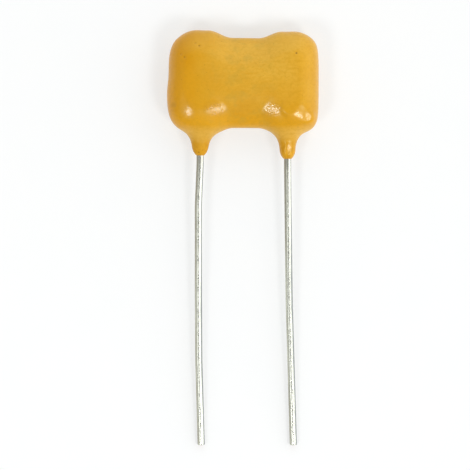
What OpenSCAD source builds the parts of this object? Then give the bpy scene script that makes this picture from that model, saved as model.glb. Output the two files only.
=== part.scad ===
// Dipped mica capacitor with two wire leads, lying on its back.
// Millimetres, +Z up, +Y from the lead tips to the body, +X to the right seen from the front.
// The origin is the middle of the footprint, on the surface that the part lies on.

/* [Leads] */
// Distance between the two lead axes at the body
lead_pitch = 8.75; // [7.5:0.05:12]
// Diameter of the tinned copper wire
lead_d = 0.72; // [0.5:0.01:1]
// Length of the leads below the lower edge of the waist
lead_l = 31.75; // [22:0.25:45]
// Length of each lead that is welded to its clip
weld_l = 6.2; // [3:0.1:6.8]
// Depth to which the weld sets the wire into a flat
weld_set = 0.06; // [0.02:0.01:0.15]
// Straight length of each lead below its boot
lead_straight = 0.8; // [0.4:0.1:2]
// Radius of the slight bends in the leads
lead_bend_r = 12; // [5:1:20]

/* [Mica stack] */
// Number of mica plates
plate_count = 9; // [4:1:16]
// Thickness of one mica plate
mica_t = 0.05; // [0.03:0.01:0.08]
// Height of the mica plates
mica_h = 6.4; // [5:0.1:8]
// Gap between the mica and the web of each clip
mica_gap = 0.1; // [0.05:0.05:0.3]
// Thickness of one foil
foil_t = 0.02; // [0.01:0.01:0.04]
// How far the foils stop short of the mica's upper and lower edges
foil_inset = 0.4; // [0.2:0.1:1]
// How far each foil stops short of the opposite clip
foil_gap = 0.6; // [0.3:0.1:1.2]

/* [Clips] */
// Thickness of the clips' brass strip
clip_t = 0.3; // [0.2:0.05:0.45]
// Reach of the jaws from the lead axis towards the middle of the body
clip_in = 1.4; // [0.8:0.1:2]
// Reach of the clip from the lead axis to its outer face
clip_out = 1.9; // [1.2:0.1:2.5]
// How far the clips stand past the mica at each edge
clip_over = 0.4; // [0.2:0.1:0.8]

/* [Coating] */
// Coat over the outer face of each clip
coat_side = 1.21; // [1:0.01:2]
// Coat past the upper and lower edges of the clips
coat_end = 1.6; // [1.2:0.05:2.2]
// Coat in front of the clips
coat_front = 1.15; // [1:0.05:2]
// Coat behind the leads
coat_back = 1.75; // [1.2:0.05:2.5]
// Exponents of the superellipse that the outline follows, on the left and on the squarer right
corner_left = 4.3; // [3.5:0.1:6]
corner_right = 6.2; // [3.5:0.1:7]
// Share of the body's half size over which its edge is rounded, at the sides, the lobes' ends and the waist
side_round = 0.28; // [0.2:0.02:0.4]
end_round = 0.6; // [0.4:0.05:0.7]
waist_round = 0.7; // [0.5:0.05:0.8]
// Half length of the level part of the waist
waist_flat = 1.25; // [0.5:0.05:2]
// How far the waist lies to the right of the body's middle
waist_shift = 0.25; // [0:0.05:0.4]
// Distance from the lead axis to where the slope into the waist starts
lobe_inset = 0.6; // [0.3:0.05:1.2]
// How far the upper and lower edges are drawn in at the waist
waist_depth = 0.75; // [0.25:0.05:1]
// How far the front and the back sink into a saddle at the ends of the waist
saddle_sink = 0.7; // [0.2:0.05:0.8]
// Share of that sink that is left in the middle of the body
saddle_middle = 0.15; // [0:0.05:0.4]
// Distance from the lead axis outwards to where the saddle starts
saddle_past = 1; // [0.5:0.1:1.5]
// How much higher the left lobe stands than the right
lobe_rise = 0.17; // [0:0.01:0.4]
// How far the coat hangs to the left of the leads' middle
coat_shift = 0.1; // [0:0.05:0.3]
// How far the left side is drawn in above its middle
coat_lean = 0.14; // [0:0.02:0.3]

/* [Boots] */
// Diameter of the coat around each lead, above its nose and below its flare
boot_d = 1.62; // [1.3:0.02:2]
boot_top_d = 1.74; // [1.4:0.02:2.1]
// Length of the left boot below the lobe
boot_l_left = 2.07; // [1.6:0.05:3]
// Length of the right boot below the lobe
boot_l_right = 2.44; // [1.6:0.05:3]
// Length of the rounded end of each boot
boot_nose = 0.9; // [0.3:0.05:1]
// How far the flare from the boot into the lobe widens, across the leads and through the body
flare_w = 1.5; // [0.8:0.1:1.8]
flare_t = 0.35; // [0.1:0.05:0.5]
// Half length of the oval that the flare follows
flare_l = 1.2; // [0.8:0.1:1.5]
// How far below the lobe the flare runs out
flare_drop = 0.7; // [0.5:0.05:0.8]

/* [Hidden] */
// Gap between the coat and the pieces that it encloses
bond_gap = 0.01;
// Angle that the flare turns through before the lobe covers it
flare_angle = 65;
// How far into the lobe the boot reaches
boot_root = 1;
// How much the wire is drawn thinner in a bend, and how far the bend runs into the bars
bend_thin = 0.004;
bend_lap = 0.1;
// Facets around the body's outline, across its flat faces and down its rounded edge
outline_steps = 96;
face_rings = 5;
edge_rings = 9;
// Stretch along the leads over which the saddle deepens, from the middle and short of the ends
saddle_from = 0.4;
saddle_short = 1;
// Stretch along the leads over which the left side draws in
lean_from = -1.1;
lean_to = 1;
// Facets around each boot
boot_steps = 32;
// Points on each rounded profile, and facets of the round pieces
arc_steps = 8;
$fn = 48;

// Slight bends of each lead: distance below the waist's edge, then distance from the lead axis
bends_left = [[7.7, -0.18], [16.2, -0.18], [lead_l, 0.19]];
bends_right = [[5.7, 0.02], [17.2, 0.17], [lead_l, 0.6]];

// Half sizes of the clips and of the coated body, across the leads
web_x = lead_pitch / 2 + clip_out;
jaw_x = lead_pitch / 2 - clip_in;
half_w = web_x + coat_shift + coat_side;
lobe_x = lead_pitch / 2 - lobe_inset;

// Half sizes along the leads; the outline's own half height allows for its fall towards the corners
clip_h = mica_h + 2 * clip_over;
half_h = clip_h / 2 + coat_end;
outline_h = half_h / pow(1 - pow(lobe_x / half_w, corner_left), 1 / corner_left);
waist_y = outline_h - waist_depth;

// Levels above the surface: lead axis, jaw that the lead is welded to, middle of the stack, body
foil_count = plate_count + 1;
stack_t = plate_count * mica_t + foil_count * foil_t;
lead_z = coat_back + lead_d / 2;
jaw_z = lead_z + lead_d / 2 - weld_set;
stack_z = jaw_z + clip_t + stack_t / 2;
body_t = stack_z + stack_t / 2 + clip_t + coat_front;

// Place of the body's middle, so that the whole length is centred on the origin
left_top = half_h + lobe_rise * lobe_x / lead_pitch;
body_y = (waist_y + lead_l - left_top) / 2;

function unit(v) = v / norm(v);
function lead_x(side) = coat_shift + side * lead_pitch / 2;
function boot_end(side) = -half_h - (side < 0 ? boot_l_left : boot_l_right);

// Points of an ellipse's arc, from one angle to another
function arc(centre, rx, ry, from, to) =
    [for (i = [0:arc_steps])
        let (a = from + (to - from) * i / arc_steps)
        [centre.x + rx * cos(a), centre.y + ry * sin(a)]];

// Smooth fall from 1 to 0 as t goes from 0 to 1
function fall(t) = (1 + cos(180 * max(0, min(1, t)))) / 2;

// Share of the waist across the body: 1 on its level part, 0 on the lobes
function waist(x) = fall((abs(x - waist_shift) - waist_flat) / (lobe_x - waist_flat));

// Depth of the saddle in the front and the back
function sink(x, y) =
    let (
        across = fall(abs(x - waist_shift) / (lead_pitch / 2 + saddle_past)),
        along = 1 - fall((abs(y) - saddle_from) / (half_h - saddle_short - saddle_from))
    )
    saddle_sink * across * (saddle_middle + (1 - saddle_middle) * along);

// Exponent of the superellipse in one direction, and the distance from the middle to it
function corner(a) = corner_left + (corner_right - corner_left) * (1 + cos(a)) / 2;
function outline_r(a) =
    pow(pow(abs(cos(a)) / half_w, corner(a)) + pow(abs(sin(a)) / outline_h, corner(a)), -1 / corner(a));

// Share of the outline's radius over which the edge is rounded, in one direction
function rim(a) =
    let (
        x = outline_r(a) * cos(a),
        end = end_round + waist(x) * (waist_round - end_round)
    )
    end + (side_round - end) * pow(abs(x) / half_w, corner(a));

// A point of the body's skin: direction, share of the way across the face, then turn over the edge
function skin(a, face, turn) =
    let (
        r = outline_r(a) * (face * (1 - rim(a)) + rim(a) * sin(turn)),
        x = r * cos(a),
        raised = sin(a) > 0 ? 1 - lobe_rise * x / (lead_pitch * half_h) : 1,
        y = r * sin(a) * raised * (1 - waist(x) * waist_depth / outline_h),
        lean = x < 0 ? coat_lean * (1 - fall((y - lean_from) / (lean_to - lean_from))) : 0
    )
    [x * (1 - lean / half_w), y, cos(turn) * (body_t / 2 - sink(x, y))];

// Rings of the skin from the front's middle, over the edge, to the back's middle
function half_rings() = concat(
    [for (i = [1:face_rings]) [i / face_rings, 0]],
    [for (i = [1:edge_rings]) [1, 90 * i / edge_rings]]
);

// Closed solid through rings of points, with a point at each end
module loft(first, rings, last) {
    n = len(rings[0]);
    end = len(rings) * n + 1;
    points = concat([first], [for (ring = rings, p = ring) p], [last]);
    first_faces = [for (i = [0:n - 1]) [0, 1 + (i + 1) % n, 1 + i]];
    side_faces = [for (r = [0:len(rings) - 2], i = [0:n - 1], upper = [true, false])
        let (
            p = 1 + r * n + i,
            q = 1 + r * n + (i + 1) % n
        )
        upper ? [p, q, p + n] : [q, q + n, p + n]];
    last_faces = [for (i = [0:n - 1]) [end, end - n + i, end - n + (i + 1) % n]];
    polyhedron(points, concat(first_faces, side_faces, last_faces));
}

module pillow() {
    front = half_rings();
    back = [for (i = [len(front) - 2:-1:0]) [front[i][0], 180 - front[i][1]]];
    translate([0, 0, body_t / 2])
        loft(
            skin(0, 0, 0),
            [for (r = concat(front, back))
                [for (i = [0:outline_steps - 1]) skin(360 * i / outline_steps, r[0], r[1])]],
            skin(0, 0, 180)
        );
}

// An oval of points across a lead: distance along it, half width, half thickness, level
function oval(x, y, w, t, z) =
    [for (i = [0:boot_steps - 1])
        let (a = 360 * i / boot_steps)
        [x + w * cos(a), y, z + t * sin(a)]];

// Coat that runs down each lead: a nose around the wire, a neck that widens, and a flare into the lobe
module boot(side) {
    x = lead_x(side);
    end = boot_end(side);
    root = -half_h + boot_root;
    nose = [for (p = arc([lead_d / 2, end + boot_nose], (boot_d - lead_d) / 2, boot_nose, -90, 0))
        oval(x, p.y, p.x, p.x, lead_z)];
    flare = [for (i = [0:arc_steps])
        let (
            a = flare_angle * i / arc_steps,
            spread = 1 - cos(a)
        )
        oval(
            x,
            -half_h - flare_drop + flare_l * sin(a),
            boot_top_d / 2 + flare_w * spread,
            boot_top_d / 2 + flare_t * spread,
            lead_z + (body_t / 2 - lead_z) * spread
        )];
    loft(
        [x, end, lead_z],
        concat(nose, flare, [oval(x, root, boot_d / 2, boot_d / 2, body_t / 2)]),
        [x, root, body_t / 2]
    );
}

// Straight round bar between two points
module bar(from, to, r) {
    d = unit(to - from);
    translate(from)
        rotate([0, acos(d.z), atan2(d.y, d.x)])
            cylinder(h = norm(to - from), r = r);
}

// Round bend from one direction to another, which runs a little way into the bar at each end
module bend(from, d0, d1, r) {
    inward = unit(d1 - (d1 * d0) * d0);
    axis = cross(d0, inward);
    centre = from + lead_bend_r * inward;
    lap = asin(bend_lap / lead_bend_r);
    multmatrix([
        [-inward.x, d0.x, axis.x, centre.x],
        [-inward.y, d0.y, axis.y, centre.y],
        [-inward.z, d0.z, axis.z, centre.z]
    ])
        rotate([0, 0, -lap])
            rotate_extrude(angle = acos(d0 * d1) + 2 * lap)
                translate([lead_bend_r, 0])
                    circle(r - bend_thin);
}

// Round wire along a line of points, with a bend at each inner point
module wire(points, r) {
    last = len(points) - 1;
    d = [for (i = [0:last - 1]) unit(points[i + 1] - points[i])];
    trim = [for (i = [0:last])
        i == 0 || i == last ? 0 : lead_bend_r * tan(acos(d[i - 1] * d[i]) / 2)];
    for (i = [0:last - 1])
        bar(points[i] + trim[i] * d[i], points[i + 1] - trim[i + 1] * d[i], r);
    for (i = [1:last - 1])
        bend(points[i] - trim[i] * d[i - 1], d[i - 1], d[i], r);
}

// The clip's outline across the leads, filled, with its folds rounded on the outside
module clip_envelope(side, grow) {
    outer = web_x + grow;
    half = stack_t / 2 + clip_t + grow;
    fold = clip_t + grow;
    translate([coat_shift, 0, stack_z])
        mirror([side < 0 ? 1 : 0, 0, 0])
            rotate([90, 0, 0])
                linear_extrude(clip_h + 2 * grow, center = true)
                    polygon(concat(
                        [[jaw_x - grow, -half]],
                        arc([outer - fold, fold - half], fold, fold, -90, 0),
                        arc([outer - fold, half - fold], fold, fold, 0, 90),
                        [[jaw_x - grow, half]]
                    ));
}

// A flat layer: its two ends across the leads, its height, its lower face and its thickness
module layer(x0, x1, h, z, t) {
    translate([x0 + coat_shift, -h / 2, z])
        cube([x1 - x0, h, t]);
}

// Room inside the coat for the stack, the clips and the welded ends of the leads
module core_room() {
    mica_end = web_x - clip_t;
    room_t = stack_t + 2 * bond_gap;
    layer(-mica_end, mica_end, mica_h + 2 * bond_gap, stack_z - room_t / 2, room_t);
    for (side = [-1, 1]) {
        clip_envelope(side, bond_gap);
        bar(
            [lead_x(side), weld_l - clip_h / 2 + bond_gap, lead_z],
            [lead_x(side), boot_end(side) - lead_straight, lead_z],
            lead_d / 2 + bond_gap
        );
    }
}

module coating() {
    color("goldenrod")
        translate([0, body_y, 0])
            difference() {
                union() {
                    pillow();
                    for (side = [-1, 1])
                        boot(side);
                }
                core_room();
            }
}

// One lead: welded flat on its clip, straight through the boot, then falling to the surface
module lead(side) {
    x = lead_x(side);
    straight_end = boot_end(side) - lead_straight;
    bends = side < 0 ? bends_left : bends_right;
    fall = (lead_z - lead_d / 2) / (waist_y + lead_l + straight_end);
    points = concat(
        [[x, weld_l - clip_h / 2, lead_z], [x, straight_end, lead_z]],
        [for (b = bends)
            let (y = -waist_y - b[0])
            [x + b[1], y, lead_z - fall * (straight_end - y)]]
    );
    color("silver")
        translate([0, body_y, 0])
            difference() {
                wire(points, lead_d / 2);
                clip_envelope(side, 0);
            }
}

// Folded strip that clamps one end of the stack between two jaws
module clip(side) {
    color("gold")
        translate([0, body_y, 0])
            difference() {
                clip_envelope(side, 0);
                layer(clip_t - web_x, web_x - clip_t, 2 * clip_h, stack_z - stack_t / 2, stack_t);
            }
}

module mica_plate(i) {
    end = web_x - clip_t - mica_gap;
    z = stack_z - stack_t / 2 + i * foil_t + (i - 1) * mica_t;
    color("wheat")
        translate([0, body_y, 0])
            layer(-end, end, mica_h, z, mica_t);
}

// Foils reach by turns from the right clip and from the left clip
module foil(i) {
    held = web_x - clip_t;
    free = jaw_x - foil_gap;
    z = stack_z - stack_t / 2 + (i - 1) * (foil_t + mica_t);
    color("lightgray")
        translate([0, body_y, 0])
            if (i % 2 == 1)
                layer(-free, held, mica_h - 2 * foil_inset, z, foil_t);
            else
                layer(-held, free, mica_h - 2 * foil_inset, z, foil_t);
}

coating();
lead(-1);  // lead_left
lead(1);  // lead_right
clip(-1);  // clip_left
clip(1);  // clip_right
for (i = [1:plate_count])
    mica_plate(i);
for (i = [1:foil_count])
    foil(i);
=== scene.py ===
"""Dipped mica capacitor on a pale surface, seen from above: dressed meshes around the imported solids."""

import math

import bpy
import numpy as np
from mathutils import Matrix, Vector, noise

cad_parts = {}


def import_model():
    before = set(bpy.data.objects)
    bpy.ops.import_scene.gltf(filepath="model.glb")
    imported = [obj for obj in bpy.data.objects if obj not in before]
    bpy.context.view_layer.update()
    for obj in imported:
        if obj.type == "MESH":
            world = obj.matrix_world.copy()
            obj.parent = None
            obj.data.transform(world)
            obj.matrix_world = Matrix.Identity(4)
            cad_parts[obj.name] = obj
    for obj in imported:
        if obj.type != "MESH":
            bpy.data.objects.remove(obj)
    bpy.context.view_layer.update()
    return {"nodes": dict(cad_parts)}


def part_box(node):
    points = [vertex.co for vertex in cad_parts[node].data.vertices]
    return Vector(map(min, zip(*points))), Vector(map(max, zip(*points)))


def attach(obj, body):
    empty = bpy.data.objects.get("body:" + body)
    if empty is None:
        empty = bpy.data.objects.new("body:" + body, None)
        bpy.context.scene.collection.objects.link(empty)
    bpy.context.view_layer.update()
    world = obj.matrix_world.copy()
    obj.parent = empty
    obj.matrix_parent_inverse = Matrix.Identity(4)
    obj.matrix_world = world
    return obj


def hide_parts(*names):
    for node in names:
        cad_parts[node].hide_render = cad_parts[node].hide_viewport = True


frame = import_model()

# Sizes in millimetres, as in the solids

MM = 0.001
LEFT, RIGHT = -1, 1
LEAD_PITCH = 8.75
LEAD_R = 0.36
LEAD_Z = 2.11
COAT_SHIFT = 0.1
HALF_H = 5.2
WAIST_FLAT = 1.25
LOBE_X = 3.775
WAIST_DEPTH = 0.75
WAIST_SHIFT = 0.25
SADDLE_SINK = 0.7
SADDLE_X = 5.375
SADDLE_MIDDLE = 0.15
SADDLE_FROM, SADDLE_TO = 0.4, 4.2
LOBE_RISE = 0.17
SIDE_ROUND = 0.28
END_ROUND = 0.6
WAIST_ROUND = 0.7
BOOT_R = 0.81
BOOT_NOSE = 1.1
BOOT_LENGTH = {LEFT: 2.07, RIGHT: 2.44}

# The coated body's half sizes and middle come from the frame
coat_lo, coat_hi = (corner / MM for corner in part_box("coating"))
mica_lo, mica_hi = (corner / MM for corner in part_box("mica_plate_1"))
HALF_W = coat_hi.x
HALF_T = (coat_hi.z - coat_lo.z) / 2
BODY = Vector((0, (mica_lo.y + mica_hi.y) / 2, (coat_lo.z + coat_hi.z) / 2))


def lead_x(side):
    return COAT_SHIFT + side * LEAD_PITCH / 2


def boot_end(side):
    return -HALF_H - BOOT_LENGTH[side]


# Form of the coat: a waisted pillow that runs into a boot on each lead, as a field that is 0 on the skin

CORNER_LEFT, CORNER_RIGHT = 4.3, 6.2
# The left side leans in above the middle, and the upper shoulders are slightly raised
LEAN = 0.14
LEAN_FROM, LEAN_TO = -1.1, 1.0
SHOULDER_RISE = 0.026
SHOULDER_X = 5.36
SHOULDER_REACH = 1.6
OUTLINE_H = HALF_H / (1 - (LOBE_X / HALF_W) ** CORNER_LEFT) ** (1 / CORNER_LEFT)
EDGE_DEPTH = 2.2
BLEND = 1.15
# Each boot starts inside the body and drips slightly past the solid's end
BOOT_TOP = 2 - HALF_H
BOOT_TAPER = 0.06
BOOT_DRIP = 0.08
NOSE_POWER = 2.0
TINY = 1e-9


def fall(t):
    """Smooth fall from 1 to 0 as t goes from 0 to 1."""
    return (1 + np.cos(np.pi * np.clip(t, 0, 1))) / 2


def pillow_field(p):
    x, y, z = p.T
    off = np.abs(x - WAIST_SHIFT)
    waist = fall((off - WAIST_FLAT) / (LOBE_X - WAIST_FLAT))
    rightward = x / np.maximum(np.hypot(x, y), TINY)
    power = CORNER_LEFT + (CORNER_RIGHT - CORNER_LEFT) * (1 + rightward) / 2
    leaning = LEAN * (1 - fall((y - LEAN_FROM) / (LEAN_TO - LEAN_FROM))) * (x < 0)
    shoulder = SHOULDER_RISE * fall(np.abs(off - SHOULDER_X) / SHOULDER_REACH)
    raised = np.where(y > 0, (1 - LOBE_RISE * x / (LEAD_PITCH * HALF_H)) * (1 + shoulder), 1)
    across = (np.abs(x) / (HALF_W - leaning)) ** power
    along = (np.abs(y) / (raised * (OUTLINE_H - waist * WAIST_DEPTH))) ** power
    share = (across + along) ** (1 / power)
    end_rim = END_ROUND + waist * (WAIST_ROUND - END_ROUND)
    rim = end_rim + (SIDE_ROUND - end_rim) * across / np.maximum(across + along, TINY)
    edge = np.maximum(share - (1 - rim), 0) / rim
    ends = 1 - fall((np.abs(y) - SADDLE_FROM) / (SADDLE_TO - SADDLE_FROM))
    sink = SADDLE_SINK * fall(off / SADDLE_X) * (SADDLE_MIDDLE + (1 - SADDLE_MIDDLE) * ends)
    return (np.sqrt(edge**2 + (z / (HALF_T - sink)) ** 2) - 1) * EDGE_DEPTH


def boot_field(p, side):
    x, y, z = p.T
    centre = boot_end(side) - BOOT_DRIP + BOOT_NOSE
    from_axis = np.hypot(x - lead_x(side), z + BODY.z - LEAD_Z)
    radius = BOOT_R + BOOT_TAPER * np.clip((y - centre) / (BOOT_TOP - centre), 0, 1)
    past = np.maximum(centre - y, 0) / BOOT_NOSE + np.maximum(y - BOOT_TOP, 0) / BOOT_R
    return (((from_axis / radius) ** NOSE_POWER + past**NOSE_POWER) ** (1 / NOSE_POWER) - 1) * radius


def smooth_min(a, b, reach):
    h = np.maximum(reach - np.abs(a - b), 0) / reach
    return np.minimum(a, b) - h * h * reach / 4


def coat_field(p):
    field = pillow_field(p)
    for side in (LEFT, RIGHT):
        field = smooth_min(field, boot_field(p, side), BLEND)
    return field


# Mesh helpers

GRADIENT_STEP = 0.01
SETTLE_REACH = 0.15


def linked(name, data):
    """A new object in the scene that shows the data."""
    obj = bpy.data.objects.new(name, data)
    bpy.context.scene.collection.objects.link(obj)
    return obj


def new_object(name, vertices, faces):
    mesh = bpy.data.meshes.new(name)
    mesh.from_pydata([tuple(v) for v in vertices], [], [tuple(f) for f in faces])
    mesh.update()
    return linked(name, mesh)


def ring_faces(rings, sides):
    """Faces of a closed tube whose points come ring by ring. Its two ends come last."""
    faces = []
    for k in range(rings - 1):
        a, b = k * sides, (k + 1) * sides
        for i in range(sides):
            j = (i + 1) % sides
            faces.append((a + i, b + i, b + j, a + j))
    faces.append(tuple(range(sides)))
    faces.append(tuple(reversed(range((rings - 1) * sides, rings * sides))))
    return faces


def vertices_of(mesh):
    co = np.zeros(len(mesh.vertices) * 3)
    mesh.vertices.foreach_get("co", co)
    return co.reshape(-1, 3)


def set_vertices(mesh, co):
    mesh.vertices.foreach_set("co", co.astype(np.float32).ravel())
    mesh.update()


def shade_smooth(mesh):
    mesh.polygons.foreach_set("use_smooth", [True] * len(mesh.polygons))


def gradient(field, p):
    columns = []
    for step in np.eye(3) * GRADIENT_STEP:
        columns.append((field(p + step) - field(p - step)) / (2 * GRADIENT_STEP))
    return np.stack(columns, axis=1)


def settle(field, p, rounds):
    """Moves points onto the field's zero along its gradient."""
    for _ in range(rounds):
        g = gradient(field, p)
        length = np.maximum(np.linalg.norm(g, axis=1), TINY)
        move = np.clip(field(p) / length, -SETTLE_REACH, SETTLE_REACH)
        p = p - move[:, None] * g / length[:, None]
    return p


def relax(field, mesh, p, rounds):
    """Evens out the spacing of the points, and keeps them on the field's zero."""
    edges = np.zeros(len(mesh.edges) * 2, int)
    mesh.edges.foreach_get("vertices", edges)
    a, b = edges.reshape(-1, 2).T
    count = np.bincount(np.concatenate([a, b]), minlength=len(p))[:, None]
    for _ in range(rounds):
        total = np.zeros_like(p)
        np.add.at(total, a, p[b])
        np.add.at(total, b, p[a])
        p = settle(field, total / count, 1)
    return p


# Coat

VOXEL = 0.085
START_ANGLES = 96
START_RINGS = 24
START_POWER = 0.5
START_BOOT_SIDES = 24
START_TIP = 0.05
START_TIP_R = 0.6 * BOOT_R
SETTLE_FIRST, RELAX_ROUNDS, SETTLE_LAST = 6, 6, 3
NOISE_SHIFT = (17.3, 5.1, 11.7)
SAG_SCALE, SAG_SIZE = 0.28, 0.035
# Crinkle of the set coat: noise scale, height
CRINKLE = [(1.6, 0.01), (4.0, 0.008)]
CRINKLE_LEAST = 0.15
# Glossy patches, from the body's middle: x, y, half width, half height, gloss, crinkle
GLOSSY = [
    (-5.38, -2.8, 0.65, 0.75, 0.5, 0.3),
    (-2.74, -2.66, 1.0, 0.6, 0.55, 0.9),
    (2.93, -2.68, 0.78, 0.64, 0.85, 0.9),
    (5.54, -3.18, 0.86, 0.58, 0.36, 0.05),
    (6.62, -3.36, 0.4, 0.6, 0.13, 0.15),
    (4.66, -6.34, 0.26, 0.29, 0.26, 0.06),
]
# Smooth spots: x, y, slope along x and y, turn, half length, half width, curvature along and across
SPOTS = [
    (-5.38, -2.8, 0.23, 0.23, 90, 1.0, 0.8, 0.22, 0.28),
    (-2.72, -2.67, -0.23, 0.23, 12, 0.9, 0.7, 0.1, 0.36),
    (2.93, -2.7, 0.23, 0.23, -28, 0.8, 0.65, 0.14, 0.3),
    (5.64, -3.2, -0.23, 0.23, -24, 1.2, 0.5, 0.02, 0.36),
    (6.62, -3.36, -0.23, 0.23, 80, 0.45, 0.32, 0.1, 0.2),
    (4.66, -6.36, -0.23, 0.23, 85, 0.5, 0.3, 0.25, 0.5),
]
SPOT_FADE_LONG, SPOT_FADE_WIDE = 1.4, 1.6
# Distance added on the lower face, so that a spot starts from the upper one
OTHER_FACE = 9
# Small pits, from the body's middle: x, y, radius, shade
PITS = [
    (-4.36, 3.67, 0.12, 0.45),
    (-4.73, 3.95, 0.09, 0.2),
    (-5.82, 2.52, 0.12, 0.3),
    (-6.2, 2.84, 0.1, 0.2),
    (5.32, 2.92, 0.14, 0.65),
    (-6.9, -2.22, 0.35, 0.14),
    (-4.41, -6.92, 0.12, 0.5),
]
PIT_DEPTH = 0.07
# Height over which the coat eases into the top of its box
TOP_EASE = 0.02


def pillow_start():
    """A closed, squarish ellipsoid that settles onto the pillow."""
    vertices = []
    for r in range(1, START_RINGS):
        tilt = math.pi * r / START_RINGS
        flat = math.sin(tilt) ** START_POWER
        for i in range(START_ANGLES):
            turn = 2 * math.pi * i / START_ANGLES
            vertices.append((
                HALF_W * flat * math.copysign(abs(math.cos(turn)) ** START_POWER, math.cos(turn)),
                HALF_H * flat * math.copysign(abs(math.sin(turn)) ** START_POWER, math.sin(turn)),
                HALF_T * math.cos(tilt),
            ))
    return np.array(vertices), ring_faces(START_RINGS - 1, START_ANGLES)


def boot_start(side):
    """A closed tube along +Y that settles onto the boot."""
    angles = np.arange(START_BOOT_SIDES) * 2 * np.pi / START_BOOT_SIDES
    circle = np.stack([np.cos(angles), np.zeros(START_BOOT_SIDES), np.sin(angles)], axis=1)
    end = boot_end(side)
    rings = []
    for y, radius in ((end + START_TIP, START_TIP_R), (end + BOOT_NOSE, BOOT_R), (BOOT_TOP, BOOT_R)):
        rings.append(np.array((lead_x(side), y, LEAD_Z - BODY.z)) + radius * circle)
    return np.concatenate(rings), ring_faces(len(rings), START_BOOT_SIDES)


def coat_start():
    vertices, faces = pillow_start()
    for side in (LEFT, RIGHT):
        more, more_faces = boot_start(side)
        faces += [tuple(i + len(vertices) for i in f) for f in more_faces]
        vertices = np.concatenate([vertices, more])
    return new_object("coat_start", vertices, faces)


def remeshed(obj, voxel):
    """The object's form as one even mesh. The object itself is removed."""
    modifier = obj.modifiers.new("remesh", "REMESH")
    modifier.mode = "VOXEL"
    modifier.voxel_size = voxel
    graph = bpy.context.evaluated_depsgraph_get()
    mesh = bpy.data.meshes.new_from_object(obj.evaluated_get(graph))
    old = obj.data
    bpy.data.objects.remove(obj)
    bpy.data.meshes.remove(old)
    return mesh


def noise_at(p, scale, seed):
    shift = Vector([seed * s for s in NOISE_SHIFT])
    return np.array([noise.noise(Vector(v) * scale + shift) for v in p])


def relief(p):
    """How far the coat rises at each point by its sag, its crinkle and its pits."""
    rise = SAG_SIZE * noise_at(p, SAG_SCALE, 1)
    crinkled = np.zeros(len(p))
    for x, y, wide, high, _, amount in GLOSSY:
        crinkled += amount * np.exp(-(((p[:, 0] - x) / wide) ** 2) - ((p[:, 1] - y) / high) ** 2)
    for seed, (scale, size) in enumerate(CRINKLE, 2):
        rise += size * noise_at(p, scale, seed) * (CRINKLE_LEAST + np.minimum(crinkled, 1))
    for x, y, radius, _ in PITS:
        distance = np.hypot(p[:, 0] - x, p[:, 1] - y)
        rise -= PIT_DEPTH * np.exp(-((distance / radius) ** 2)) * (p[:, 2] > 0)
    return rise


def smooth_spot(p, x, y, slope_x, slope_y, turn, long, wide, along, across):
    """How far each point of the upper face rises to a smooth, slightly domed spot of a given slope."""
    dx, dy = p[:, 0] - x, p[:, 1] - y
    away = np.hypot(dx, dy) + OTHER_FACE * (p[:, 2] < 0)
    height = p[np.argmin(away), 2]
    a = math.radians(turn)
    s = dx * math.cos(a) + dy * math.sin(a)
    t = dy * math.cos(a) - dx * math.sin(a)
    spot = height + slope_x * dx + slope_y * dy - (along * s**2 + across * t**2) / 2
    reach = (s / (SPOT_FADE_LONG * long)) ** 2 + (t / (SPOT_FADE_WIDE * wide)) ** 2
    return np.exp(-(reach**2)) * (spot - p[:, 2]) * (p[:, 2] > 0)


def coat():
    mesh = remeshed(coat_start(), VOXEL)
    p = settle(coat_field, vertices_of(mesh), SETTLE_FIRST)
    p = relax(coat_field, mesh, p, RELAX_ROUNDS)
    p = settle(coat_field, p, SETTLE_LAST)
    g = gradient(coat_field, p)
    normal = g / np.linalg.norm(g, axis=1)[:, None]
    p = p + relief(p)[:, None] * normal
    for spot in SPOTS:
        p[:, 2] += smooth_spot(p, *spot)
    p = p + np.array(BODY)
    p[:, 2] = coat_hi.z - TOP_EASE * np.logaddexp(0, (coat_hi.z - p[:, 2]) / TOP_EASE)
    p = np.clip(p, coat_lo, coat_hi)
    set_vertices(mesh, p * MM)
    shade_smooth(mesh)
    mesh.name = "coat"
    obj = linked("coat", mesh)
    obj.data.materials.append(coat_material())
    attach(obj, "root")
    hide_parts("coating")


# Leads

LEAD_L = 31.75
LEAD_STRAIGHT = 0.8
WAIST_Y = OUTLINE_H - WAIST_DEPTH
WELD_TOP = 2.6
CLIP_BOTTOM = -3.6
JAW_Z = 2.41
# Slight bends: distance below the waist's edge, then distance from the lead axis
BENDS = {
    LEFT: [(7.7, -0.18), (16.2, -0.18), (23.2, -0.14), (26.4, -0.05), (LEAD_L, 0.1)],
    RIGHT: [(5.7, 0.02), (17.2, 0.17), (LEAD_L, 0.6)],
}
# Nicks in the wire: distance below the waist's edge, angle round the wire, length, depth
NICKS = {LEFT: [(19.4, 20, 0.12, 0.05)], RIGHT: [(18.0, 160, 0.12, 0.05)]}
NICK_TURN = 0.6
RING_STEP = 0.12
RING_SIDES = 32
BEND_REACH = 5
TIP_SHARE = 0.94
# Die marks: depth, noise scale round the wire and along it, step from one wire's noise to the other's
DIE_MARK = 0.006
DIE_ROUND, DIE_ALONG = 3, 0.16
DIE_STEP = 9


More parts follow.
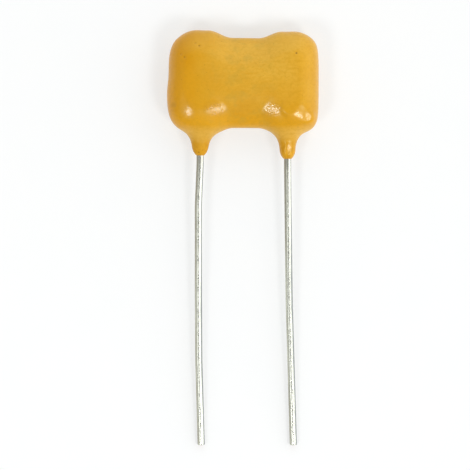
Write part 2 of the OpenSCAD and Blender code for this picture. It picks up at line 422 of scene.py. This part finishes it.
def lead_line(side):
    """Points along the lead's axis, from the weld to the tip, with its corners rounded."""
    x = lead_x(side)
    start = boot_end(side) - LEAD_STRAIGHT
    slope = (LEAD_Z - LEAD_R) / (WAIST_Y + LEAD_L + start)
    corners = [(x, WELD_TOP, LEAD_Z), (x, start, LEAD_Z)]
    for below, aside in BENDS[side]:
        y = -WAIST_Y - below
        corners.append((x + aside, y, LEAD_Z - slope * (start - y)))
    corners = np.array(corners)
    length = np.concatenate([[0], np.cumsum(np.linalg.norm(np.diff(corners, axis=0), axis=1))])
    count = int(length[-1] / RING_STEP)
    t = np.linspace(0, length[-1], count)
    line = np.stack([np.interp(t, length, corners[:, k]) for k in range(3)], axis=1)
    for _ in range(BEND_REACH):
        line[1:-1] = (line[:-2] + 2 * line[1:-1] + line[2:]) / 4
    return line


def wire_radius(side, y, angles):
    """The wire's radius at each place along it and angle round it, with its die marks and nicks."""
    radius = np.full((len(y), len(angles)), LEAD_R)
    for i, a in enumerate(angles):
        ring_x, ring_y = math.cos(a) * DIE_ROUND, math.sin(a) * DIE_ROUND
        spots = [Vector((ring_x, ring_y, v * DIE_ALONG + side * DIE_STEP)) for v in y]
        radius[:, i] -= DIE_MARK * np.array([max(noise.noise(s), 0) for s in spots])
    below = -WAIST_Y - y
    for place, degrees, length, depth in NICKS[side]:
        along = np.exp(-(((below - place) / length) ** 2))
        turn = np.angle(np.exp(1j * (angles - math.radians(degrees))))
        radius -= depth * np.outer(along, np.exp(-((turn / NICK_TURN) ** 2)))
    return radius


def lead(side, skin, cut):
    line = lead_line(side)
    ahead = np.gradient(line, axis=0)
    ahead /= np.linalg.norm(ahead, axis=1)[:, None]
    right = np.cross(ahead, (0, 0, 1))
    right /= np.linalg.norm(right, axis=1)[:, None]
    up = np.cross(right, ahead)
    angles = np.arange(RING_SIDES) * 2 * np.pi / RING_SIDES
    radius = wire_radius(side, line[:, 1], angles)
    rings = []
    for k in range(len(line)):
        circle = np.outer(np.cos(angles), right[k]) + np.outer(np.sin(angles), up[k])
        rings.append(line[k] + radius[k][:, None] * circle)
    tip = line[-1]
    rings[-1] = tip + TIP_SHARE * (rings[-1] - tip)
    vertices = np.concatenate(rings)
    welded = vertices[:, 1] > CLIP_BOTTOM
    vertices[welded, 2] = np.minimum(vertices[welded, 2], JAW_Z)
    name = "wire_left" if side == LEFT else "wire_right"
    place = np.array((BODY.x, BODY.y, 0))
    obj = new_object(name, (vertices + place) * MM, ring_faces(len(rings), RING_SIDES))
    shade_smooth(obj.data)
    obj.data.materials.append(skin)
    obj.data.materials.append(cut)
    for polygon in list(obj.data.polygons)[-2:]:
        polygon.use_smooth = False
        polygon.material_index = 1
    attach(obj, "root")
    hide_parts("lead_left" if side == LEFT else "lead_right")


# Material helpers

RANGE_SOCKETS = ("From Min", "From Max", "To Min", "To Max")
# Numbers of the colour sockets of a mix node
MIX_SHARE, MIX_A, MIX_B, MIX_RESULT = 0, 6, 7, 2


def srgb(r, g, b):
    """Linear colour of a display colour given in 0 to 255."""
    parts = []
    for c in (r, g, b):
        c /= 255
        parts.append(c / 12.92 if c <= 0.04045 else ((c + 0.055) / 1.055) ** 2.4)
    return (*parts, 1)


class Nodes:
    """A material's node tree, with short calls for the nodes that the finishes use."""

    def __init__(self, name):
        self.material = bpy.data.materials.new(name)
        self.material.use_nodes = True
        self.tree = self.material.node_tree
        self.shader = self.tree.nodes["Principled BSDF"]

    def add(self, kind, **settings):
        node = self.tree.nodes.new(kind)
        for key, value in settings.items():
            setattr(node, key, value)
        return node

    def link(self, source, target):
        self.tree.links.new(source, target)

    def fill(self, socket, value):
        if isinstance(value, bpy.types.NodeSocket):
            self.link(value, socket)
        else:
            socket.default_value = value

    def set(self, **values):
        """Fills the shader's sockets, named with _ for each space."""
        for key, value in values.items():
            self.fill(self.shader.inputs[key.replace("_", " ")], value)

    def place(self, scale):
        """The point on the surface, in millimetres times scale along each axis."""
        where = self.add("ShaderNodeTexCoord").outputs["Object"]
        grow = self.add("ShaderNodeVectorMath", operation="MULTIPLY")
        self.link(where, grow.inputs[0])
        grow.inputs[1].default_value = [s / MM for s in scale]
        return grow.outputs[0]

    def split(self, vector):
        node = self.add("ShaderNodeSeparateXYZ")
        self.link(vector, node.inputs[0])
        return node.outputs

    def from_middle(self):
        """The point's x and y from the body's middle, in millimetres."""
        x, y, _ = self.split(self.place((1, 1, 1)))
        return x, self.math("SUBTRACT", y, BODY.y)

    def facing(self):
        """The direction the surface faces, in the object's own frame."""
        return self.split(self.add("ShaderNodeTexCoord").outputs["Normal"])

    def distance(self, x, y, wide=1, high=1):
        """Distance from a place on the body, where a half width and a half height count as 1."""
        node = self.add("ShaderNodeVectorMath", operation="DISTANCE")
        self.link(self.place((1 / wide, 1 / high, 0)), node.inputs[0])
        node.inputs[1].default_value = ((BODY.x + x) / wide, (BODY.y + y) / high, 0)
        return node.outputs["Value"]

    def ramp(self, value, stops):
        node = self.add("ShaderNodeValToRGB")
        self.link(value, node.inputs[0])
        marks = node.color_ramp.elements
        while len(marks) < len(stops):
            marks.new(1)
        for mark, (position, colour) in zip(marks, stops):
            mark.position = position
            mark.color = colour
        return node.outputs["Color"]

    def noise(self, scale, detail=2, rough=0.5):
        node = self.add("ShaderNodeTexNoise")
        self.link(self.place(scale), node.inputs["Vector"])
        node.inputs["Scale"].default_value = 1
        node.inputs["Detail"].default_value = detail
        node.inputs["Roughness"].default_value = rough
        return node.outputs["Fac"]

    def remap(self, value, low, high, to_low, to_high):
        node = self.add("ShaderNodeMapRange")
        self.link(value, node.inputs["Value"])
        for key, number in zip(RANGE_SOCKETS, (low, high, to_low, to_high)):
            node.inputs[key].default_value = number
        return node.outputs["Result"]

    def patches(self, scale, detail, rough, low, high, share):
        """Noise as a share that grows from 0 where the noise is low to the given share where it is high."""
        return self.remap(self.noise(scale, detail, rough), low, high, 0, share)

    def math(self, operation, a, b=0):
        node = self.add("ShaderNodeMath", operation=operation)
        self.fill(node.inputs[0], a)
        self.fill(node.inputs[1], b)
        return node.outputs[0]

    def times(self, a, b):
        return self.math("MULTIPLY", a, b)

    def away(self, value, middle):
        return self.math("ABSOLUTE", self.math("SUBTRACT", value, middle))

    def mix(self, share, a, b):
        node = self.add("ShaderNodeMix", data_type="RGBA")
        self.fill(node.inputs[MIX_SHARE], share)
        self.fill(node.inputs[MIX_A], a)
        self.fill(node.inputs[MIX_B], b)
        return node.outputs[MIX_RESULT]

    def bump(self, height, strength, distance):
        node = self.add("ShaderNodeBump")
        self.link(height, node.inputs["Height"])
        self.fill(node.inputs["Strength"], strength)
        node.inputs["Distance"].default_value = distance * MM
        return node.outputs["Normal"]


# Coat finish

# Patches: noise scale, detail, roughness, low, high, share
CLOUDS = ((0.3, 0.3, 0.3), 2, 0.5, 0.35, 0.7, 1)
BRUSHED = ((0.5, 5, 2), 4, 0.6, 0.45, 0.75, 0.34)
GRAIN = ((3.2, 4, 3.2), 4, 0.65, 0.44, 0.68, 0.42)
GREEN = ((0.8, 0.9, 0.8), 5, 0.6, 0.46, 0.7, 0.5)
MOTTLE = ((4.5, 2.6, 4.5), 3, 0.6, 0.47, 0.62, 0.55)
SPECKS = ((7, 7, 7), 2, 0.5, 0.69, 0.78, 0.4)
# Ranges: from, to, result at each. Places are in millimetres from the body's middle.
DRIFT_NOISE = ((0.35, 0.35, 0.35), 3)
DRIFT = (0.3, 0.7, -1.2, 1.2)
# Place of the painted sheen, a paler, milky colour over the middle and upper face
SHEEN_X = 1.5
SHEEN_ACROSS = (2.4, 7, 1, 0)
SHEEN_ALONG = (-3.2, 0.4, 0, 1)
# Painted shade on the left side, deeper on its outer edge
LEFT_SHADE_ACROSS = (-6, 3, 0.35, 0)
# Painted rim light on the edges, by tilt, across and by facing
RIM_LIGHT_TILT = (0.2, 0.75, 1, 0)
RIM_LIGHT_ACROSS = (-6, 2, 0.22, 0.45)
RIM_LIGHT_FACING = (-0.9, 0.9, 1.7, 0.6)
LEFT_EDGE_SHADE_ACROSS = (-7, -4.6, 0.5, 0)
# Painted light on the lower slope
LOWER_LIGHT_Y = -3.9
LOWER_LIGHT_BAND = (0.3, 1.1, 0.55, 0)
# Painted light along the lower edge, where the body runs into the boots
FLARE_LIGHT_Y = 0.1 - HALF_H
FLARE_LIGHT = (0.3, 0.9, 0.62, 0)
GREEN_ACROSS = (0.5, 5, 1, 0)
BOOTS_ALONG = (-HALF_H - 1.4, -HALF_H - 0.6, 1, 0)
BOOT_GOLD = 0.32
PIT_CORE = 0.3
GLOSS_FULL, GLOSS_END = 0.6, 1.4
CRINKLED_LEAST = 0.06
COARSE_NOISE = ((6, 6, 6), 0)
TINY_NOISE = ((11, 11, 11), 1)
COARSE_SHARE, TINY_SHARE = 0.9, 0.35
LEFT_TO_RIGHT = (-1, 1, 0, 1)
# Painted shade in the hollows of the crinkle
VALLEY_SHADE = (0.32, 0.46, 0.3, 0)
COAT_BUMP, SKIN_BUMP = 0.034, 0.024
DULL_ALONG = (-HALF_H - 0.9, -HALF_H - 0.3, 1, 0)
DULL_ACROSS = (-1, 1, 0.65, 0.1)
SOFT_NOISE = ((2.5, 2.5, 2.5), 3)
SOFT = (0.3, 0.7, 0.28, 0.37)


def coat_colour(n, x, y, pit_and_valley_shade):
    ochre = srgb(220, 161, 26)
    amber = srgb(211, 148, 10)
    milky_sheen = srgb(224, 173, 58)
    # Colour of the painted rim light and of the painted light along the lower edge
    pale = srgb(228, 180, 78)
    olive = srgb(186, 150, 50)
    umber = srgb(202, 145, 14)
    shaded_tan = srgb(220, 146, 2)
    gold = srgb(228, 162, 4)
    bronze = srgb(190, 128, 6)
    drift = n.remap(n.noise(*DRIFT_NOISE), *DRIFT)
    base = n.mix(n.patches(*CLOUDS), ochre, amber)
    # Painted sheen: a paler, milky colour over the middle and upper face stands in for the reflection of
    # the pale room
    sheen_share = n.remap(n.math("ADD", n.away(x, SHEEN_X), drift), *SHEEN_ACROSS)
    sheen_share = n.times(sheen_share, n.remap(n.math("ADD", y, drift), *SHEEN_ALONG))
    base = n.mix(sheen_share, base, milky_sheen)
    # Painted shade: the left side turns umber, as the light comes from the right
    base = n.mix(n.remap(n.math("ADD", x, drift), *LEFT_SHADE_ACROSS), base, umber)
    facing = n.facing()
    # Painted rim light: edges that tilt away from the top turn paler, more on the right and on edges that
    # face the lamps, for the pale room reflected at grazing angles
    rim = n.times(n.remap(facing[2], *RIM_LIGHT_TILT), n.remap(x, *RIM_LIGHT_ACROSS))
    base = n.mix(n.times(rim, n.remap(facing[1], *RIM_LIGHT_FACING)), base, pale)
    # Painted shade: a deeper tan on the left outer edge
    base = n.mix(n.remap(x, *LEFT_EDGE_SHADE_ACROSS), base, shaded_tan)
    # Painted light: a brighter, more saturated gold band on the lower slope, which faces the lamps
    base = n.mix(n.remap(n.away(y, LOWER_LIGHT_Y), *LOWER_LIGHT_BAND), base, gold)
    # Painted light: a paler band along the lower edge, where the body runs into the boots
    base = n.mix(n.remap(n.away(y, FLARE_LIGHT_Y), *FLARE_LIGHT), base, pale)
    base = n.mix(n.patches(*BRUSHED), base, amber)
    base = n.mix(n.patches(*GRAIN), base, umber)
    base = n.mix(n.times(n.remap(n.away(x, 0), *GREEN_ACROSS), n.patches(*GREEN)), base, olive)
    boots = n.remap(y, *BOOTS_ALONG)
    base = n.mix(n.times(boots, BOOT_GOLD), base, gold)
    base = n.mix(n.times(boots, n.patches(*MOTTLE)), base, bronze)
    base = n.mix(n.patches(*SPECKS), base, pit_and_valley_shade)
    for pit_x, pit_y, radius, shade in PITS:
        near = n.remap(n.distance(pit_x, pit_y), PIT_CORE * radius, radius, shade, 0)
        base = n.mix(near, base, pit_and_valley_shade)
    return base


def coat_material():
    n = Nodes("dipped_resin")
    # Colour of the pits and specks, also used as painted shade in the crinkle's hollows
    pit_and_valley_shade = srgb(96, 62, 10)
    x, y = n.from_middle()
    base = coat_colour(n, x, y, pit_and_valley_shade)
    shine, crinkled = 0.0, CRINKLED_LEAST
    for patch_x, patch_y, wide, high, gloss, amount in GLOSSY:
        distance = n.distance(patch_x, patch_y, wide, high)
        shine = n.math("MAXIMUM", shine, n.remap(distance, GLOSS_FULL, GLOSS_END, gloss, 0))
        crinkled = n.math("MAXIMUM", crinkled, n.remap(distance, GLOSS_FULL, GLOSS_END, amount, 0))
    coarse = n.noise(*COARSE_NOISE)
    tiny = n.noise(*TINY_NOISE)
    mixed = n.math("ADD", n.times(coarse, COARSE_SHARE), n.times(tiny, TINY_SHARE))
    fine = n.mix(n.remap(x, *LEFT_TO_RIGHT), mixed, coarse)
    # Painted shade: the hollows of the crinkle in the glossy patches are darkened with the pit colour
    base = n.mix(n.times(crinkled, n.remap(coarse, *VALLEY_SHADE)), base, pit_and_valley_shade)
    dull = n.times(n.remap(y, *DULL_ALONG), n.remap(x, *DULL_ACROSS))
    soft = n.remap(n.noise(*SOFT_NOISE), *SOFT)
    n.set(
        Base_Color=base,
        Roughness=n.math("MAXIMUM", soft, dull),
        Normal=n.bump(fine, crinkled, SKIN_BUMP),
        IOR=1.47,
        Specular_Tint=srgb(230, 252, 206),
        Coat_Weight=shine,
        Coat_Roughness=0.16,
        Coat_IOR=1.6,
        Coat_Normal=n.bump(fine, crinkled, COAT_BUMP),
    )
    return n.material


# Finish of the leads

# Ranges are written as for the coat
TIN_NOISE = ((4, 1.6, 4), 4, 0.65)
WANDER_NOISE = ((0.3, 0.22, 0.3), 3)
WANDER = (0.3, 0.7, -0.12, 0.12)
WANDER_ALONG = (-22, -9, 0.14, -0.04)
MOTTLED_ACROSS = (-1, 1, 0.1, 0.4)
MOTTLED = (0.42, 0.62, 0, 1)
# Brown mottling towards the boots and on the wire's left side
DARKER_ALONG = (-12, -7, 0, 1)
DARKER_ACROSS = (0.4, 0.75, 1, 0.1)
DARKER_SPOTS = (0.35, 0.6, 0.1, 0.65)
TIN_ROUGH = (0.3, 0.7, 0.2, 0.4)
TIN_BUMP_ACROSS = (-1, 1, 0.05, 0.14)
TIN_BUMP = 0.03


def tin_material():
    n = Nodes("tin_plated_copper")
    # Colours of the painted reflection and shade across the wire; grey also colours its mottling
    reflected_cream = srgb(245, 247, 234)
    olive = srgb(220, 222, 203)
    grey = srgb(195, 198, 189)
    brown_shade = srgb(156, 148, 131)
    reflected_steel = srgb(150, 155, 154)
    x, y = n.from_middle()
    spots = n.noise(*TIN_NOISE)
    wander = n.math("ADD", n.remap(n.noise(*WANDER_NOISE), *WANDER), n.remap(y, *WANDER_ALONG))
    # Painted reflection and shade across the wire, by the way its surface faces: a brown, shaded left edge,
    # a cream middle with a thin grey line, and a grey right edge
    across = n.remap(n.math("ADD", n.facing()[0], wander), *LEFT_TO_RIGHT)
    base = n.ramp(across, [
        (0.0, brown_shade), (0.1, brown_shade), (0.2, olive), (0.36, reflected_cream), (0.44, reflected_cream), (0.48, grey), (0.51, grey),
        (0.55, reflected_cream), (0.84, reflected_cream), (0.92, reflected_steel), (1.0, reflected_steel),
    ])
    base = n.mix(n.times(n.remap(x, *MOTTLED_ACROSS), n.remap(spots, *MOTTLED)), base, grey)
    # Brown mottling, stronger towards the boots and on the wire's left side, where it deepens the painted
    # shade of that edge
    darker_near_boots = n.times(n.remap(y, *DARKER_ALONG), n.remap(across, *DARKER_ACROSS))
    base = n.mix(n.times(darker_near_boots, n.remap(spots, *DARKER_SPOTS)), base, brown_shade)
    n.set(
        Base_Color=base,
        Metallic=1.0,
        Roughness=n.remap(spots, *TIN_ROUGH),
        Normal=n.bump(spots, n.remap(x, *TIN_BUMP_ACROSS), TIN_BUMP),
    )
    return n.material


# Plain finishes

# The noise range that shows, and the distance of the bump
MARKS = (0.3, 0.7)
MARKS_BUMP = 0.01
CUT_NOISE = ((14, 2, 2), 2)
CUT_ROUGH = (0.25, 0.45)
CUT_BUMP = 0.4
INNER_DETAIL = 3
INNER_ROUGH = (0.25, 0.5)
INNER_BUMP = 0.3


def marked_material(name, dark, light, metallic, grain, rough, bump):
    """A finish of two shades, with marks from noise of a given scale and detail."""
    n = Nodes(name)
    marks = n.noise(*grain)
    n.set(
        Base_Color=n.mix(n.remap(marks, *MARKS, 0, 1), dark, light),
        Metallic=metallic,
        Roughness=n.remap(marks, *MARKS, *rough),
        Normal=n.bump(marks, bump, MARKS_BUMP),
    )
    return n.material


def copper_material():
    dark, light = srgb(184, 115, 80), srgb(206, 140, 104)
    return marked_material("cut_copper", dark, light, 1.0, CUT_NOISE, CUT_ROUGH, CUT_BUMP)


def inner_material(name, dark, light, metallic, scale):
    return marked_material(name, dark, light, metallic, (scale, INNER_DETAIL), INNER_ROUGH, INNER_BUMP)


def dress_inner_nodes():
    brass = inner_material("clip_brass", srgb(181, 145, 80), srgb(206, 172, 104), 1.0, (2, 12, 2))
    mica = inner_material("silvered_mica", srgb(176, 160, 128), srgb(206, 198, 180), 0.0, (0.6, 0.6, 0.6))
    foil = inner_material("tin_foil", srgb(160, 160, 160), srgb(196, 196, 196), 1.0, (6, 0.8, 6))
    finishes = {"clip": brass, "mica": mica, "foil": foil}
    for name, obj in frame["nodes"].items():
        finish = finishes.get(name.split("_")[0])
        if finish:
            obj.data.materials.clear()
            obj.data.materials.append(finish)


# Surface, light and camera

PIXEL = 0.1
IMAGE = 470
BODY_PIXEL = (242.85, 83.1)
CAMERA_DISTANCE = 500
SENSOR = 36
CLIP_START, CLIP_END = 0.01, 10
FLOOR_HALF = 2.0
FLOOR_NOISE = ((0.2, 0.2, 0.2), 2)
FLOOR_SHADES = (0.3, 0.7, 0, 1)
WASH = 0.56
# Lamps: name, direction round the body, angle above the surface, distance, width and height, power
LAMPS = [
    ("key", 45, 54, 0.5, (0.115, 0.115), 0.64),
    ("fill", -45, 54, 0.5, (0.115, 0.115), 0.56),
    ("window", 90, 12, 0.6, (0.4, 0.12), 0.08),
]
# Light of the room from its dim side to its bright side, and from 50 degrees off the vertical to overhead
ROOM_BRIGHT_SIDE = (0.75, 0.66, 0)
ROOM_SIDES = (-1, 1, 0.42, 1.4)
ROOM_UP = (0, 0, 1)
ROOM_OVERHEAD = (0.64, 0.94, 1.0, 0.3)


def floor():
    h = FLOOR_HALF
    obj = new_object("floor", [(-h, -h, 0), (h, -h, 0), (h, h, 0), (-h, h, 0)], [(0, 1, 2, 3)])
    n = Nodes("pale_surface")
    shades = n.remap(n.noise(*FLOOR_NOISE), *FLOOR_SHADES)
    n.set(
        Base_Color=n.mix(shades, srgb(246, 248, 248), srgb(248, 249, 248)),
        Roughness=0.9,
        Specular_IOR_Level=0.1,
    )
    paper = n.add("ShaderNodeEmission")
    paper.inputs["Color"].default_value = srgb(253, 254, 254)
    paper.inputs["Strength"].default_value = 1
    rays = n.add("ShaderNodeLightPath").outputs
    seen = n.math("MAXIMUM", rays["Is Camera Ray"], rays["Is Glossy Ray"])
    seen = n.math("MAXIMUM", seen, rays["Is Transmission Ray"])
    blend = n.add("ShaderNodeMixShader")
    n.link(n.times(seen, WASH), blend.inputs[0])
    n.link(n.shader.outputs[0], blend.inputs[1])
    n.link(paper.outputs[0], blend.inputs[2])
    n.link(blend.outputs[0], n.tree.nodes["Material Output"].inputs["Surface"])
    obj.data.materials.append(n.material)


def lamp(name, turn, height, distance, size, power):
    """A soft lamp that faces the body."""
    light = bpy.data.lights.new(name, "AREA")
    light.shape = "RECTANGLE"
    light.size, light.size_y = size
    light.energy = power
    obj = linked(name, light)
    a, e = math.radians(turn), math.radians(height)
    away = Vector((math.sin(a) * math.cos(e), -math.cos(a) * math.cos(e), math.sin(e)))
    aim = Vector((0, BODY.y * MM, 0))
    obj.location = aim + distance * away
    obj.rotation_euler = (-away).to_track_quat("-Z", "Y").to_euler()
    obj.visible_camera = False


def world():
    """A soft room, dim overhead where the camera stands, with its bright side behind to the right."""
    made = bpy.data.worlds.new("room")
    bpy.context.scene.world = made
    made.use_nodes = True
    tree = made.node_tree
    level = tree.nodes.new("ShaderNodeMath")
    level.operation = "MULTIPLY"
    for i, (towards, numbers) in enumerate(((ROOM_BRIGHT_SIDE, ROOM_SIDES), (ROOM_UP, ROOM_OVERHEAD))):
        part = tree.nodes.new("ShaderNodeVectorMath")
        part.operation = "DOT_PRODUCT"
        tree.links.new(tree.nodes.new("ShaderNodeTexCoord").outputs["Generated"], part.inputs[0])
        part.inputs[1].default_value = towards
        ramp = tree.nodes.new("ShaderNodeMapRange")
        ramp.interpolation_type = "SMOOTHSTEP"
        tree.links.new(part.outputs["Value"], ramp.inputs["Value"])
        for key, number in zip(RANGE_SOCKETS, numbers):
            ramp.inputs[key].default_value = number
        tree.links.new(ramp.outputs["Result"], level.inputs[i])
    tree.links.new(level.outputs[0], tree.nodes["Background"].inputs["Strength"])
    tree.nodes["Background"].inputs["Color"].default_value = (1, 1, 1, 1)


def camera():
    data = bpy.data.cameras.new("camera")
    obj = linked("camera", data)
    middle = IMAGE / 2
    x = BODY.x + (middle - BODY_PIXEL[0]) * PIXEL
    y = BODY.y - (middle - BODY_PIXEL[1]) * PIXEL
    obj.location = (x * MM, y * MM, (CAMERA_DISTANCE + BODY.z) * MM)
    data.sensor_width = SENSOR
    data.lens = data.sensor_width * CAMERA_DISTANCE / (IMAGE * PIXEL)
    data.clip_start = CLIP_START
    data.clip_end = CLIP_END
    bpy.context.scene.camera = obj


camera()
floor()
world()
for settings in LAMPS:
    lamp(*settings)
bpy.context.scene.view_settings.view_transform = "Standard"
coat()
tin, copper = tin_material(), copper_material()
for side in (LEFT, RIGHT):
    lead(side, tin, copper)
dress_inner_nodes()
